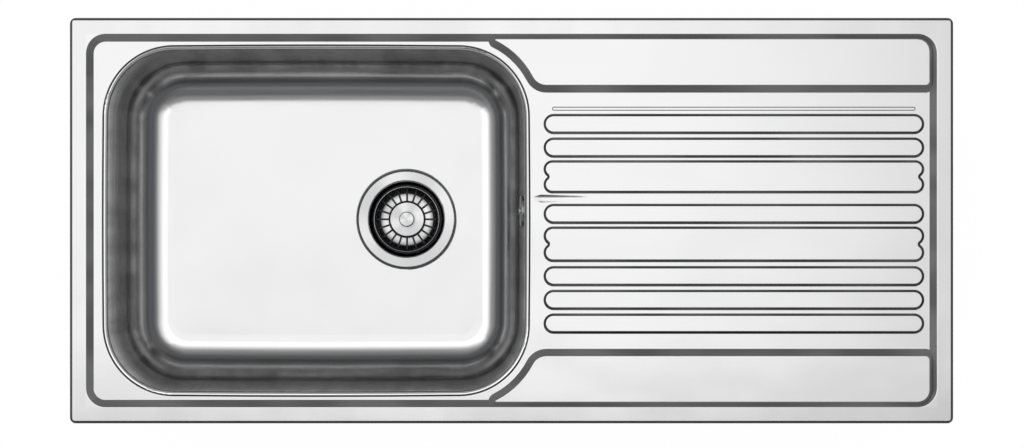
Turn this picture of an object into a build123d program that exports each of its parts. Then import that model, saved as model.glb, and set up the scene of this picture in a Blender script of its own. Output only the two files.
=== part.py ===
from build123d import *

import os
from math import atan, cos, degrees, radians, sin, tan

os.makedirs("parts", exist_ok=True)

# Inset kitchen sink with a drainer. The origin is the sink's plan centre at the height of the worktop,
# +X runs from the bowl to the drainer, +Y to the back and +Z up.

# Deck sheet
length = 980.0
width = 450.0
sheet = 0.8
outer_corner = 6.5
edge_radius = 3.0  # of the turned-down outer edge
edge_gap = 0.3  # the turned-down edge ends this far above the worktop
form_floor = -10.0  # the forms that are cut from each other start here
rim_top = 5.0  # above the worktop
rim_ledge = 18.0  # flat ledge between the outer edge and the step
recess_depth = 5.0
recess_corner = 21.5
step_run = 8.2  # plan width of every slope between rim level and deck level
step_round = 2.0  # at the top of the slopes
foot_round = 1.0  # at their foot

# Side panels, raised to rim level beside the drainer
panel_width = 50.8
panel_gap = 15.0  # from the bowl's corner to the panel
groove_side = 5.8  # between rim and panel, front and back
groove_end = 8.4  # the same at the right-hand end
panel_blend = 16.6
panel_tip = 0.8
panel_heel = 4.5

# Bowl
bowl_length = 473.0
bowl_border = 30.7  # sink edge to bowl lip, front and back
bowl_offset = 36.6  # sink edge to bowl lip, left
bowl_corner = 78.0
bowl_bulge = 1.7  # the sides bow outwards
bowl_depth = 180.0
bowl_draft = 3.0
bowl_bottom_round = 50.0
lip_round = 5.0
weld_flange = 1.5  # flat flange outside the lip, butt-welded into the deck

# Drainer ribs
rib_height = 2.5
rib_run = 2.7  # plan width of the ribs' slopes
rib_round = 1.0
rib_start = 15.9  # bowl lip to ribs
rib_end = 14.0  # ribs to the step at the right-hand end
rib_shares = (1, 1, 1.64, 1, 1.76, 1, 1, 1)  # width of each rib against a narrow one, from the back
rib_gaps = (3.8, 2.8, 11.6, 2.8, 4.5, 3.9, 3.9)
rib_margin_back = 23.7
rib_margin_front = 16.8
lobe_overlap = 0.6  # a wide rib ends in two lobes that overlap this much beyond a touch
notch_round = 1.2

# Shallow channels pressed into the drainer's floor
channel_after_rib = 3  # the drain channel runs to the bowl in the gap after this rib
channel_start = 4.0  # bowl lip to its near end
channel_length = 82.0
channel_crest = 9.0  # its near end to its deepest point
channel_depth = 1.0
channel_lift = 9.6  # of the channel's axis above the deck
line_width = 4.4  # line behind the first rib
line_depth = 0.6
line_inset = 17.9  # from the back panel's foot to the line's middle
line_end_gap = 9.5  # the line stops this far short of the ribs' ends
line_angle = 60.0

# Rim seal and fixing rails; distances run inwards from the sink's outer edge
seal_start = 3.2
seal_width = 7.6
seal_corner = 3.0
rail_sheet = 1.2
rail_start = 12.0
rail_web = 16.0
rail_floor = -10.8  # height of the channel's floor
rail_lip_inset = 23.8
rail_lip_top = -7.0
rail_fold = 1.6
rail_end_gap = 70.0  # rails stop this far short of the sink's corners
clip_inset = 20.5  # screw axis

# Clips; heights are measured from the worktop, reaches outwards from the screw axis
clip_sheet = 1.5
clip_width = 20.0
hook_gap = 0.3
hook_round = 0.6
shelf_top = -20.5
shelf_reach = 8.0
screw_radius = 3.0
screw_length = 50.0
screw_collar = 4.4
screw_collar_height = 1.5
screw_head = 5.6
screw_head_height = 4.0
screw_slot = 1.4
run_gap = 0.2
thread_gap = 0.05
nut_radius = 8.0
nut_barrel = 5.5
nut_flange = 2.2
nut_crimp = 1.3
jaw_sheet = 2.0
jaw_width = 18.0
jaw_reach = 16.5
jaw_rise = 12.0
jaw_top = -42.0  # at rest, ready for a thick worktop
jaw_teeth = 4
jaw_gap = 0.1
jaw_bore_gap = 0.08
tooth_side = 2.6
clip_side_x = (-340.0, 20.0, 380.0)  # clips along the front and the back
clip_end_y = (0.0,)  # and along each end

# Sound-deadening pads
pad_thickness = 2.0
pad_corner = 12.0
bowl_pad_length = 180.0
bowl_pad_width = 220.0
drainer_pad_inset = 40.0
drainer_pad_width = 190.0

# Strainer waste; depths are measured from the bowl's floor
outlet_from_lip = 142.0  # outlet axis to the bowl's right-hand lip
outlet_y = 1.8
flange_radius = 56.75
flange_gap = 0.9
flange_recess = 2.6
recess_round = 1.3
flange_sink = 0.6
flange_turn = 1.3
outlet_hole = 45.2
waste_sheet = 0.8
cup_radius = 43.3
cup_lip_round = 2.5
cup_seat_depth = 31.0
cup_seat_radius = 30.5
cup_taper = 1.5
cup_depth = 38.0
cup_base_round = 3.0
seat_round = 1.5
drain_holes = 6
drain_hole_radius = 5.0
drain_hole_ring = 19.0
gasket_width = 8.0
gasket_clear = 1.0  # gasket and washer stand clear of the bowl's hole
washer_thickness = 3.0
centre_screw_radius = 5.0
centre_screw_head = 8.0
centre_head_height = 4.0
socket_depth = 14.0
body_wall = 3.0
body_radius = 51.0
body_flange = 57.0
body_flange_height = 6.0
body_flange_slope = 2.0
body_cone_top = 42.0
outlet_top = 57.0
outlet_thread_radius = 23.9
outlet_bore = 20.0
outlet_length = 21.0
hub_top = 48.0
hub_height = 18.0
hub_radius = 10.5
hub_ribs = 3
hub_rib_height = 8.0
insert_radius = 7.5
insert_length = 12.0

# Basket
basket_radius = 38.5
basket_bead = 0.9
basket_top = 5.5
basket_depth = 25.0
basket_wall_run = 2.3
basket_turn_rise = 8.0
basket_floor_run = 6.5
basket_turn = 4.5
basket_disc = 19.8
basket_disc_run = 1.6
basket_disc_rise = 3.0
disc_round = 1.2
basket_sheet = 0.7
basket_slots = 20
slot_width = 2.3
slot_inner = 21.2
slot_outer = 36.0
knob_radius = 8.7
knob_height = 5.0
knob_top = 5.0
knob_neck = 4.5
knob_round = 1.2
stem_radius = 3.0
stem_gap = 0.1
stem_in_knob = 11.0
stem_bottom = 46.0
seal_radius = 33.5
seal_lift = 0.2  # seal above its seat
seal_plate_radius = 14.0
seal_plate_thickness = 1.0
stem_clip_radius = 5.5
stem_clip_thickness = 0.8

# Overflow
overflow_y = 10.7
overflow_depth = 45.0  # below the rim
overflow_hole = 14.0
cover_radius = 17.5
cover_height = 3.0
cover_sheet = 0.8
cover_gap = 0.3
cover_round = 1.8
cover_holes = 8
cover_hole_radius = 2.0
cover_hole_ring = 10.0
cover_screw_radius = 2.4
cover_screw_head = 4.5
cover_screw_head_height = 1.6
cover_screw_grip = 10.0
overflow_gasket_thickness = 2.0
collar_radius = 19.5
collar_thickness = 3.2
chamber_radius = 15.5
chamber_wall = 2.5
chamber_round = 3.0
chamber_depth = 17.0  # wall to the pipe's axis
chamber_rear = 13.5  # pipe's axis to the chamber's back
boss_radius = 4.5
boss_front = 10.0
boss_clear = 1.0  # the pipe's bore stops this far below the boss
spigot_radius = 12.5
spigot_drop = 40.0
spigot_reach = 75.0
spigot_bury = 2.4  # the lower spigot starts this deep in the waste body's wall
spigot_depth = 28.0  # waste body's spigot below the bowl's floor
pipe_radius = 9.0
pipe_wall = 1.5
pipe_entry = 10.0
pipe_play = 2.0  # room beyond the pipe's end
pipe_bend = 28.0
pipe_gap = 0.15
union_radius = 16.5
union_flats = 12
union_length = 19.0
union_lip = 2.5
union_seal_height = 4.0
end_chamfer = 1.0  # of screw head, stem and basket seal

# Earthing tag
earth_x = 120.0
tag_sheet = 1.2
tag_foot = 12.0
tag_drop = 20.0
tag_width = 14.0
tag_round = 2.0
earth_radius = 2.5
earth_head = 4.6
earth_length = 12.0

# Worked out from the driving sizes
deck_top = rim_top - recess_depth
half_length = length / 2 - rim_ledge
half_width = width / 2 - rim_ledge
step_angle = degrees(atan(step_run / recess_depth))
rib_angle = degrees(atan(rib_run / rib_height))
step_shift = sheet * tan(atan(recess_depth / step_run) / 2)
rib_shift = sheet * tan(atan(rib_height / rib_run) / 2)
bowl_width = width - 2 * bowl_border
bowl_right = -length / 2 + bowl_offset + bowl_length
bowl_x = bowl_right - bowl_length / 2
lip_inset = lip_round * tan(radians(90 - bowl_draft) / 2)
floor_z = deck_top - bowl_depth
panel_outer = half_width - groove_side
panel_inner = panel_outer - panel_width
panel_right = half_length - groove_end
rib_left = bowl_right + rib_start
rib_right = half_length - rib_end
outlet_x = bowl_right - outlet_from_lip
ledge_under = rim_top - sheet
floor_left = bowl_x - bowl_length / 2 + bowl_bottom_round
hook_inner = clip_inset - rail_lip_inset + hook_gap
hook_outer = clip_inset - rail_lip_inset - rail_sheet - hook_gap
jaw_floor = jaw_top - jaw_rise - jaw_sheet
gasket_inner = outlet_hole + gasket_clear
body_top = flange_recess + sheet + washer_thickness
seal_bottom = cup_seat_depth - seal_lift
overflow_z = rim_top - overflow_depth


def bowl_outline(grow):
    """The bowl's lip in plan: four bowed sides with rounded corners."""
    x, y, dip = bowl_length / 2, bowl_width / 2, bowl_bulge
    corners = [(-x + dip, y - dip), (x - dip, y - dip), (x - dip, -y + dip), (-x + dip, -y + dip)]
    crowns = [(0, y), (x, 0), (0, -y), (-x, 0)]
    with BuildSketch() as outline:
        with BuildLine():
            for corner, crown, following in zip(corners, crowns, corners[1:] + corners[:1]):
                ThreePointArc(corner, crown, following)
        make_face()
        fillet(outline.vertices(), bowl_corner)
        if grow:
            offset(amount=grow)
    return Pos(bowl_x, 0) * outline.sketch


def panel_outline(shrink):
    """Top of the back panel: its left end follows the bowl's corner."""
    centre_x = bowl_right - bowl_corner
    centre_y = bowl_width / 2 - bowl_corner
    low, high, right = panel_inner + shrink, panel_outer - shrink, panel_right - shrink
    with BuildSketch() as outline:
        with Locations(((centre_x + right) / 2, (low + high) / 2)):
            Rectangle(right - centre_x, high - low)
        with Locations((centre_x, centre_y)):
            Circle(bowl_corner + panel_gap + shrink, mode=Mode.SUBTRACT)
        tip, heel = outline.vertices().sort_by(Axis.X)[:2]
        fillet(heel, panel_blend - shrink)
        fillet(outline.vertices().sort_by(Axis.X)[0], panel_tip - shrink)
        fillet(outline.vertices().sort_by(Axis.X)[-2:].sort_by(Axis.Y)[0], panel_heel - shrink)
        end = outline.vertices().group_by(Axis.Y)[-1].sort_by(Axis.X)[-1]
        fillet(end, recess_corner - groove_end - shrink)
    return outline.sketch


def rib_outline(y, across, wide, shrink):
    """Foot of a drainer rib: a slot, or for a wide rib a bar with two round lobes at each end."""
    middle = (rib_left + rib_right) / 2
    with BuildSketch() as outline:
        if wide:
            lobe = across / 4 + lobe_overlap
            apart = across / 2 - lobe
            with Locations((middle, y)):
                Rectangle(rib_right - rib_left - 2 * lobe, across - 2 * shrink)
            for x in (rib_left + lobe, rib_right - lobe):
                with Locations((x, y - apart), (x, y + apart)):
                    Circle(lobe - shrink)
            fillet(outline.vertices().filter_by(lambda v: abs(v.Y - y) < 0.01), notch_round + shrink)
        else:
            with Locations((middle, y)):
                SlotOverall(rib_right - rib_left - 2 * shrink, across - 2 * shrink)
    return outline.sketch


def rib_rows():
    """Centre and width of each rib, from the back to the front of the drainer."""
    field = 2 * (panel_inner - step_run) - rib_margin_back - rib_margin_front
    unit = (field - sum(rib_gaps)) / sum(rib_shares)
    y = panel_inner - step_run - rib_margin_back
    rows = []
    for share, gap in zip(rib_shares, rib_gaps + (0,)):
        rows.append((y - share * unit / 2, share * unit, share > 1))
        y -= share * unit + gap
    return rows


def drain_channel(level):
    """Shallow spindle that dips below this level, deepest near the bowl, between two ribs."""
    (y, across, _), (next_y, next_across, _) = rib_rows()[channel_after_rib - 1:channel_after_rib + 1]
    middle = (y - across / 2 + next_y + next_across / 2) / 2
    start = bowl_right + channel_start
    spine = Plane(origin=(start, middle, level + channel_lift), x_dir=(1, 0, 0), z_dir=(0, -1, 0))
    with BuildPart() as channel:
        with BuildSketch(spine):
            with BuildLine():
                Polyline(
                    (0, 0),
                    (0, channel_lift),
                    (channel_crest, channel_lift + channel_depth),
                    (channel_length, channel_lift),
                    (channel_length, 0),
                    close=True,
                )
            make_face()
        revolve(axis=Axis(spine.origin, (1, 0, 0)))
        with BuildSketch(Plane.XY.offset(level)):
            with Locations((start + channel_length / 2, middle)):
                Rectangle(2 * channel_length, 2 * channel_length)
        extrude(amount=-channel_lift, mode=Mode.INTERSECT)
    return channel.part


def deck_form(skin):
    """Solid under the deck's upper side, or with skin the sheet's thickness under its lower side."""
    step, rib = (step_shift, rib_shift) if skin else (0, 0)
    top, base = rim_top - skin, deck_top - skin
    with BuildPart() as form:
        with BuildSketch(Plane.XY.offset(form_floor)):
            RectangleRounded(length - 2 * skin, width - 2 * skin, outer_corner - skin)
        extrude(amount=top - form_floor)
        fillet(form.faces().sort_by(Axis.Z)[-1].edges(), edge_radius - skin)
        with BuildSketch(Plane.XY.offset(top)):
            RectangleRounded(2 * (half_length + step), 2 * (half_width + step), recess_corner + step)
        extrude(amount=-recess_depth, taper=step_angle, mode=Mode.SUBTRACT)
        for side in (1, -1):
            with BuildSketch(Plane.XY.offset(top)):
                add(panel_outline(step))
                if side < 0:
                    mirror(about=Plane.XZ, mode=Mode.REPLACE)
            extrude(amount=-recess_depth, taper=-step_angle)
        for y, across, wide in rib_rows():
            with BuildSketch(Plane.XY.offset(base)):
                add(rib_outline(y, across, wide, rib))
            extrude(amount=rib_height, taper=rib_angle)
        if not skin:
            soften(form)
        add(drain_channel(base), mode=Mode.SUBTRACT)
        with BuildSketch(Plane.XY.offset(base)):
            with Locations(((rib_left + rib_right) / 2, panel_inner - step_run - line_inset)):
                SlotOverall(rib_right - rib_left - 2 * line_end_gap, line_width)
        extrude(amount=-line_depth, taper=line_angle, mode=Mode.SUBTRACT)
    return form.part


def soften(form):
    """Rounds the pressed edges of the deck's upper side."""
    def level(z):
        return form.edges().filter_by_position(Axis.Z, z - 0.01, z + 0.01)

    def in_field(edge):
        centre = edge.center()
        return rib_left - 1 < centre.X < rib_right + 1 and abs(centre.Y) < panel_inner - step_run - 1

    def in_recess(edge):
        return abs(edge.center().X) < half_length + 1 and abs(edge.center().Y) < half_width + 1

    fillet(level(deck_top + rib_height).filter_by(in_recess), rib_round)
    fillet(level(deck_top).filter_by(in_field), foot_round)
    fillet(level(rim_top).filter_by(in_recess), step_round)
    fillet(level(deck_top).filter_by(lambda edge: in_recess(edge) and not in_field(edge)), foot_round)


with BuildPart() as deck:
    add(deck_form(0))
    add(deck_form(sheet), mode=Mode.SUBTRACT)
    with BuildSketch(Plane.XY.offset(form_floor)):
        add(bowl_outline(weld_flange))
    extrude(amount=rim_top - form_floor, mode=Mode.SUBTRACT)
    with BuildSketch(Plane.XY.offset(edge_gap)):
        RectangleRounded(length + 2, width + 2, outer_corner)
        RectangleRounded(length - 4 * sheet, width - 4 * sheet, outer_corner, mode=Mode.SUBTRACT)
    extrude(amount=form_floor - edge_gap, mode=Mode.SUBTRACT)
deck.part.label = "deck"
export_step(deck.part, "parts/deck.step")


def bowl_form(skin):
    """Solid that fills the bowl, or with skin the sheet's thickness also its wall."""
    with BuildPart() as form:
        with BuildSketch(Plane.XY.offset(deck_top)):
            add(bowl_outline(skin - lip_inset))
        extrude(amount=floor_z - skin - deck_top, taper=bowl_draft)
        fillet(form.faces().sort_by(Axis.Z)[0].edges(), bowl_bottom_round + skin)
        with BuildSketch(Plane.XY.offset(floor_z - skin)):
            with Locations((outlet_x, outlet_y)):
                Circle(flange_radius + flange_gap + skin)
        extrude(amount=-flange_recess)
        rings = form.edges().filter_by(GeomType.CIRCLE)
        fillet(rings.filter_by_position(Axis.Z, floor_z - skin - 0.01, floor_z - skin + 0.01)
               .filter_by(lambda e: abs(e.radius - flange_radius - flange_gap - skin) < 0.01), recess_round - skin)
        with BuildSketch(Plane.XY.offset(deck_top - skin)):
            add(bowl_outline(2 * weld_flange))
        extrude(amount=rim_top)
        brim = form.faces().filter_by(Axis.Z).group_by(Axis.Z)[-2][0]
        fillet(brim.inner_wires()[0].edges(), lip_round - skin)
    return form.part


# The overflow sits square to the bowl's drafted wall
wall_out = Vector(cos(radians(bowl_draft)), 0, -sin(radians(bowl_draft)))
wall_x = bowl_right - lip_inset - (deck_top - overflow_z) * tan(radians(bowl_draft))


def wall_plane(distance):
    """Plane parallel to the bowl's right-hand wall, this far outwards from its inner side."""
    return Plane(origin=Vector(wall_x, overflow_y, overflow_z) + wall_out * distance,
                 x_dir=(0, 1, 0), z_dir=wall_out)


with BuildPart() as bowl:
    add(bowl_form(sheet))
    add(bowl_form(0), mode=Mode.SUBTRACT)
    with BuildSketch(Plane.XY.offset(deck_top)):
        add(bowl_outline(weld_flange))
    extrude(amount=2 * (floor_z - deck_top), mode=Mode.INTERSECT)
    with BuildSketch(Plane.XY.offset(floor_z)):
        with Locations((outlet_x, outlet_y)):
            Circle(outlet_hole)
    extrude(amount=-2 * flange_recess, mode=Mode.SUBTRACT)
    with BuildSketch(wall_plane(0)):
        Circle(overflow_hole)
    extrude(amount=cover_height, both=True, mode=Mode.SUBTRACT)
bowl.part.label = "bowl"
export_step(bowl.part, "parts/bowl.step")

with BuildPart() as rim_seal:
    with BuildSketch():
        RectangleRounded(length - 2 * seal_start, width - 2 * seal_start, outer_corner - seal_start)
        inset = seal_start + seal_width
        RectangleRounded(length - 2 * inset, width - 2 * inset, seal_corner, mode=Mode.SUBTRACT)
    extrude(amount=ledge_under)
rim_seal.part.label = "rim_seal"
export_step(rim_seal.part, "parts/rim_seal.step")


# Fixing rails: folded channels welded under the rim's ledge
inwards = {"front": (0, 1), "back": (0, -1), "left": (1, 0), "right": (-1, 0)}


def edge_point(side, inset, along):
    """A point of the plan, measured inwards from one side of the sink and along that side."""
    x, y = inwards[side]
    if x:
        return Vector(-x * (length / 2 - inset), along, 0)
    return Vector(along, -y * (width / 2 - inset), 0)


for side, (x, y) in inwards.items():
    run = (width if x else length) - 2 * rail_end_gap
    facing = Plane(origin=edge_point(side, 0, 0), x_dir=(x, y, 0), z_dir=(y, -x, 0))
    with BuildPart() as rail:
        with BuildSketch(facing):
            with BuildLine():
                FilletPolyline(
                    (rail_start, ledge_under),
                    (rail_web + rail_sheet, ledge_under),
                    (rail_web + rail_sheet, rail_floor),
                    (rail_lip_inset, rail_floor),
                    (rail_lip_inset, rail_lip_top),
                    radius=rail_fold,
                )
                offset(amount=rail_sheet, side=Side.RIGHT)
            make_face()
        extrude(amount=run / 2, both=True)
    rail.part.label = f"rail_{side}"
    export_step(rail.part, f"parts/rail_{side}.step")


# Clips: a hanger hooked over the rail's lip, a captive screw, a nut that climbs it and a swinging jaw
clips = [(side, along) for side in ("front", "back") for along in clip_side_x]
clips += [(side, along) for side in ("left", "right") for along in clip_end_y]
hangers = []
for number, (side, along) in enumerate(clips, 1):
    x, y = inwards[side]
    foot = edge_point(side, clip_inset, along)
    section = Plane(origin=foot, x_dir=(-x, -y, 0), z_dir=(-y, x, 0))

    def level(z):
        return Plane(origin=foot + Vector(0, 0, z), x_dir=(-x, -y, 0), z_dir=(0, 0, 1))

    with BuildPart() as hanger:
        with BuildSketch(section):
            with BuildLine():
                FilletPolyline(
                    (hook_inner, rail_floor + rail_fold),
                    (hook_inner, rail_lip_top + hook_gap),
                    (hook_outer, rail_lip_top + hook_gap),
                    (hook_outer, shelf_top),
                    (shelf_reach, shelf_top),
                    radius=hook_round,
                )
                offset(amount=clip_sheet, side=Side.LEFT)
            make_face()
        extrude(amount=clip_width / 2, both=True)
        with BuildSketch(level(shelf_top)):
            Circle(screw_radius + run_gap)
        extrude(amount=-2 * clip_sheet, mode=Mode.SUBTRACT)
    hangers.append(hanger.part)

    with BuildPart() as screw:
        with BuildSketch(level(shelf_top + run_gap)):
            Circle(screw_collar)
        extrude(amount=screw_collar_height)
        with BuildSketch(level(shelf_top + run_gap)):
            Circle(screw_radius)
        extrude(amount=-screw_length)
        with BuildSketch(level(shelf_top - clip_sheet - run_gap)):
            Circle(screw_collar)
        extrude(amount=-screw_collar_height)
        with BuildSketch(level(shelf_top + run_gap - screw_length)):
            RegularPolygon(screw_head, 6)
        extrude(amount=-screw_head_height)
        with BuildSketch(level(shelf_top + run_gap - screw_length - screw_head_height)):
            Rectangle(2 * screw_radius, screw_slot)
        extrude(amount=screw_slot, mode=Mode.SUBTRACT)
    screw.part.label = f"clip_{number}_screw"
    export_step(screw.part, f"parts/clip_{number}_screw.step")

    with BuildPart() as nut:
        with BuildSketch(level(jaw_floor - jaw_gap)):
            Circle(nut_radius)
        extrude(amount=-nut_flange)
        with BuildSketch(level(jaw_floor - jaw_gap)):
            Circle(nut_barrel)
        extrude(amount=jaw_sheet + 2 * jaw_gap)
        with BuildSketch(level(jaw_floor + jaw_sheet + jaw_gap)):
            Circle(nut_barrel + nut_crimp)
        extrude(amount=nut_crimp)
        with BuildSketch(level(jaw_floor - jaw_gap - nut_flange)):
            Circle(screw_radius + thread_gap)
        extrude(amount=jaw_sheet + 3 * nut_flange, mode=Mode.SUBTRACT)
    nut.part.label = f"clip_{number}_nut"
    export_step(nut.part, f"parts/clip_{number}_nut.step")

    with BuildPart() as jaw:
        with BuildSketch(section):
            with BuildLine():
                FilletPolyline(
                    (-jaw_width / 2, jaw_floor + jaw_sheet),
                    (jaw_reach - jaw_sheet, jaw_floor + jaw_sheet),
                    (jaw_reach - jaw_sheet, jaw_top),
                    radius=hook_round,
                )
                offset(amount=jaw_sheet, side=Side.RIGHT)
            make_face()
        extrude(amount=jaw_width / 2, both=True)
        with BuildSketch(level(jaw_floor)):
            Circle(jaw_width / 2)
            with Locations((jaw_reach / 2, 0)):
                Rectangle(jaw_reach, jaw_width)
        extrude(amount=jaw_top - jaw_floor, mode=Mode.INTERSECT)
        with BuildSketch(level(jaw_floor)):
            Circle(nut_barrel + jaw_bore_gap)
        extrude(amount=jaw_sheet, mode=Mode.SUBTRACT)
        across = Plane(origin=level(jaw_top).from_local_coords(Vector(jaw_reach, 0, 0)),
                       x_dir=(y, -x, 0), z_dir=(-x, -y, 0))
        with BuildSketch(across):
            with GridLocations(jaw_width / jaw_teeth, 1, jaw_teeth - 1, 1):
                Rectangle(tooth_side, tooth_side, rotation=45)
        extrude(amount=-2 * jaw_sheet, mode=Mode.SUBTRACT)
    jaw.part.label = f"clip_{number}_jaw"
    export_step(jaw.part, f"parts/clip_{number}_jaw.step")

clip_hangers = Compound(children=hangers, label="clip_hangers")
export_step(clip_hangers, "parts/clip_hangers.step")


with BuildPart() as bowl_pad:
    with BuildSketch(Plane.XY.offset(floor_z - sheet)):
        with Locations(((floor_left + outlet_x - flange_radius) / 2, 0)):
            RectangleRounded(bowl_pad_length, bowl_pad_width, pad_corner)
    extrude(amount=-pad_thickness)
bowl_pad.part.label = "bowl_pad"
export_step(bowl_pad.part, "parts/bowl_pad.step")

with BuildPart() as drainer_pad:
    with BuildSketch(Plane.XY.offset(deck_top - sheet)):
        with Locations(((rib_left + rib_right) / 2, 0)):
            RectangleRounded(rib_right - rib_left - 2 * drainer_pad_inset, drainer_pad_width, pad_corner)
    extrude(amount=-pad_thickness)
    add(drain_channel(deck_top - sheet), mode=Mode.SUBTRACT)
drainer_pad.part.label = "drainer_pad"
export_step(drainer_pad.part, "parts/drainer_pad.step")


# Strainer waste: turned pieces, drawn in a half section whose height is measured from the bowl's floor
half_section = Plane(origin=(outlet_x, outlet_y, floor_z), x_dir=(1, 0, 0), z_dir=(0, -1, 0))
outlet_axis = Axis((outlet_x, outlet_y, 0), (0, 0, 1))


def outlet_level(depth):
    return Plane(origin=(outlet_x, outlet_y, floor_z - depth), z_dir=(0, 0, 1))


def half_ring(inner, outer, top, bottom):
    """A ring's section; top and bottom are depths below the bowl's floor."""
    with Locations(((inner + outer) / 2, -(top + bottom) / 2)):
        Rectangle(outer - inner, bottom - top)


with BuildPart() as strainer_flange:
    with BuildSketch(half_section):
        with BuildLine():
            FilletPolyline(
                (flange_radius, -flange_sink - flange_turn),
                (flange_radius - flange_turn, -flange_sink),
                (cup_radius, -flange_sink),
                (cup_radius, -cup_seat_depth),
                (cup_seat_radius, -cup_seat_depth),
                (cup_seat_radius - cup_taper, -cup_depth),
                (0, -cup_depth),
                radius=[waste_sheet, cup_lip_round, cup_base_round, seat_round, cup_base_round],
            )
            offset(amount=waste_sheet, side=Side.LEFT)
        make_face()
    revolve(axis=outlet_axis)
    with BuildSketch(outlet_level(cup_depth)):
        Circle(centre_screw_radius + stem_gap)
        with PolarLocations(drain_hole_ring, drain_holes):
            Circle(drain_hole_radius)
    extrude(amount=-2 * waste_sheet, mode=Mode.SUBTRACT)
strainer_flange.part.label = "strainer_flange"
export_step(strainer_flange.part, "parts/strainer_flange.step")

with BuildPart() as flange_gasket:
    with BuildSketch(half_section):
        half_ring(gasket_inner, gasket_inner + gasket_width, flange_sink + waste_sheet, flange_recess)
    revolve(axis=outlet_axis)
flange_gasket.part.label = "flange_gasket"
export_step(flange_gasket.part, "parts/flange_gasket.step")

with BuildPart() as clamp_washer:
    with BuildSketch(half_section):
        half_ring(gasket_inner, gasket_inner + gasket_width, flange_recess + sheet, body_top)
    revolve(axis=outlet_axis)
clamp_washer.part.label = "clamp_washer"
export_step(clamp_washer.part, "parts/clamp_washer.step")

# The waste body's spigot points at the overflow pipe
pipe_x = wall_x + sheet + chamber_depth
heading = Vector(pipe_x - outlet_x, overflow_y - outlet_y, 0)
pipe_run = heading.length
spigot_z = floor_z - spigot_depth
pipe_plane = Plane(origin=(outlet_x, outlet_y, 0), x_dir=heading, z_dir=heading.cross(Vector(0, 0, 1)))


def spigot_plane(distance):
    """Plane across the lower spigot, looking away from the waste body."""
    return Plane(origin=pipe_plane.from_local_coords(Vector(distance, spigot_z, 0)), z_dir=heading)


with BuildPart() as waste_body:
    with BuildSketch(half_section):
        with BuildLine():
            Polyline(
                (body_flange, -body_top),
                (body_flange, -body_top - body_flange_height),
                (body_radius, -body_top - body_flange_height - body_flange_slope),
                (body_radius, -body_cone_top),
                (outlet_thread_radius + body_wall, -outlet_top),
                (outlet_thread_radius, -outlet_top),
                (outlet_thread_radius, -outlet_top - outlet_length),
                (outlet_bore, -outlet_top - outlet_length),
                (outlet_bore, -outlet_top),
                (body_radius - body_wall, -body_cone_top + body_wall / 2),
                (body_radius - body_wall, -body_top),
                close=True,
            )
        make_face()
    revolve(axis=outlet_axis)
    spigot_root = body_radius - spigot_bury
    with BuildSketch(spigot_plane(spigot_root)):
        Circle(spigot_radius)
    extrude(amount=spigot_reach - spigot_root)
    with BuildSketch(spigot_plane(body_radius - 2 * body_wall)):
        Circle(pipe_radius - pipe_wall)
    extrude(amount=spigot_reach, mode=Mode.SUBTRACT)
    with BuildSketch(spigot_plane(spigot_reach)):
        Circle(pipe_radius + pipe_gap)
    extrude(amount=-pipe_entry - pipe_play, mode=Mode.SUBTRACT)
    with BuildSketch(outlet_level(hub_top + hub_height)):
        with PolarLocations(outlet_bore / 2, hub_ribs, start_angle=90):
            Rectangle(outlet_bore, body_wall)
    extrude(amount=hub_rib_height)
    with BuildSketch(outlet_level(hub_top)):
        Circle(hub_radius)
    extrude(amount=-hub_height)
    with BuildSketch(outlet_level(hub_top)):
        Circle(insert_radius)
    extrude(amount=-insert_length, mode=Mode.SUBTRACT)
waste_body.part.label = "waste_body"
export_step(waste_body.part, "parts/waste_body.step")

with BuildPart() as waste_insert:
    with BuildSketch(half_section):
        half_ring(centre_screw_radius, insert_radius, hub_top, hub_top + insert_length)
    revolve(axis=outlet_axis)
waste_insert.part.label = "waste_insert"
export_step(waste_insert.part, "parts/waste_insert.step")

with BuildPart() as centre_screw:
    with BuildSketch(outlet_level(cup_depth)):
        Circle(centre_screw_head)
    extrude(amount=centre_head_height)
    chamfer(centre_screw.edges().sort_by(Axis.Z)[-1], end_chamfer)
    with BuildSketch(outlet_level(cup_depth)):
        Circle(centre_screw_radius)
    extrude(amount=-(hub_top + insert_length - cup_depth))
    with BuildSketch(outlet_level(cup_depth - centre_head_height)):
        Circle(stem_radius + stem_gap)
    extrude(amount=-socket_depth, mode=Mode.SUBTRACT)
centre_screw.part.label = "centre_screw"
export_step(centre_screw.part, "parts/centre_screw.step")

# Basket that lifts out: slotted dish, knob, stem, seal, plate and retaining clip
with BuildPart() as basket:
    with BuildSketch(half_section):
        with BuildLine():
            FilletPolyline(
                (basket_radius - basket_bead, -basket_top - basket_bead),
                (basket_radius - basket_wall_run, -basket_depth + basket_turn_rise),
                (basket_radius - basket_floor_run, -basket_depth),
                (basket_disc + basket_disc_run, -basket_depth),
                (basket_disc, -basket_depth + basket_disc_rise),
                (0, -basket_depth + basket_disc_rise),
                radius=[basket_turn, basket_turn, disc_round, disc_round],
            )
            offset(amount=basket_sheet, side=Side.LEFT)
        make_face()
        with Locations((basket_radius - basket_bead, -basket_top - basket_bead)):
            Circle(basket_bead)
    revolve(axis=outlet_axis)
    with BuildSketch(outlet_level(basket_depth + 2 * basket_sheet)):
        Circle(stem_radius)
        with PolarLocations((slot_inner + slot_outer) / 2, basket_slots):
            SlotOverall(slot_outer - slot_inner, slot_width)
    extrude(amount=basket_depth - basket_top - 2 * basket_bead, mode=Mode.SUBTRACT)
basket.part.label = "basket"
export_step(basket.part, "parts/basket.step")

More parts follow.
